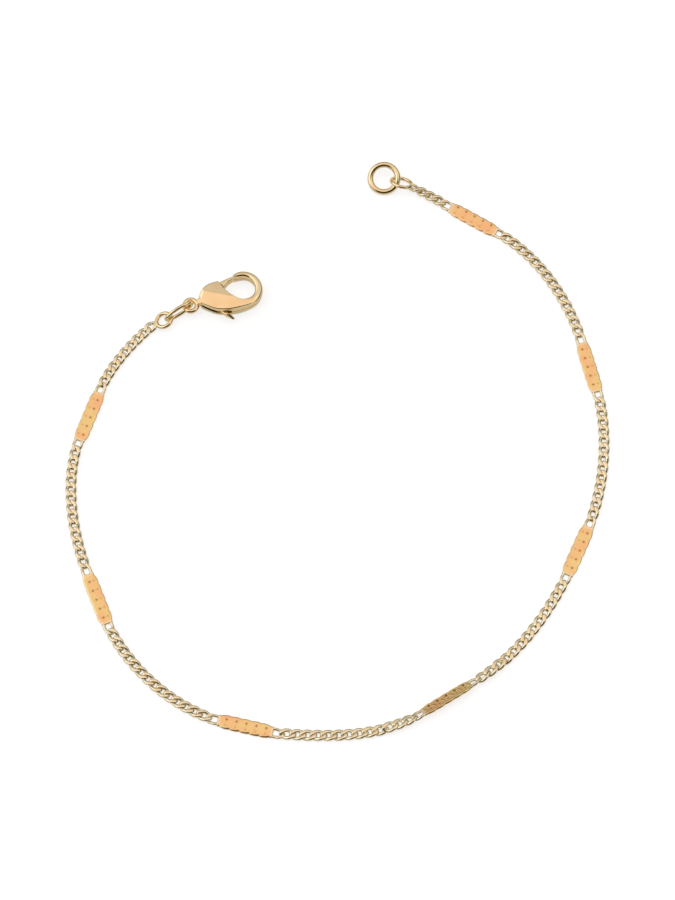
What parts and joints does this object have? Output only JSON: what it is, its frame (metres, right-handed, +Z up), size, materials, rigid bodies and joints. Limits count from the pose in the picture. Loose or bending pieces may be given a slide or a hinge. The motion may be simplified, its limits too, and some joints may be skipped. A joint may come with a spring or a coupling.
{
  "type": "bracelet",
  "caption": "Fine curb-chain bracelet with flattened scalloped stations, a round end ring and a sprung lobster clasp, lying open on a flat surface",
  "frame": {"origin": "middle of the base of the bounding box, on the surface the bracelet lies on", "axes": "+Z up from the surface; +Y the longer way across the lying loop, towards the end ring; +X the shorter way, towards the second station"},
  "size_m": [0.0636, 0.0716, 0.0022],
  "materials": {
    "polished_gold": "gold-plated brass, polished",
    "pressed_gold": "gold-plated brass, pressed flat and lightly polished"
  },
  "bodies": {
    "bracelet": {"end_ring": "polished_gold", "ring_link": "polished_gold", "chain_1": "polished_gold", "chain_2": "polished_gold", "chain_3": "polished_gold", "chain_4": "polished_gold", "chain_5": "polished_gold", "chain_6": "polished_gold", "chain_7": "polished_gold", "chain_8": "polished_gold", "jump_ring": "polished_gold", "clasp_link": "polished_gold", "clasp_body": "polished_gold", "clasp_rivet": "polished_gold", "bar_1": "pressed_gold", "bar_2": "pressed_gold", "bar_3": "pressed_gold", "bar_4": "pressed_gold", "bar_5": "pressed_gold", "bar_6": "pressed_gold", "bar_7": "pressed_gold"},
    "lever": {"clasp_lever": "polished_gold"}
  },
  "joints": [
    {"name": "gate_hinge", "type": "hinge", "parent": "bracelet", "child": "lever", "pos_m": [-0.01483, 0.01837, 0.0011], "axis": [0, 0, -1], "range_deg": [0, 25], "stiffness_Nm_per_rad": 0.002, "springref_deg": -28.65}
  ]
}
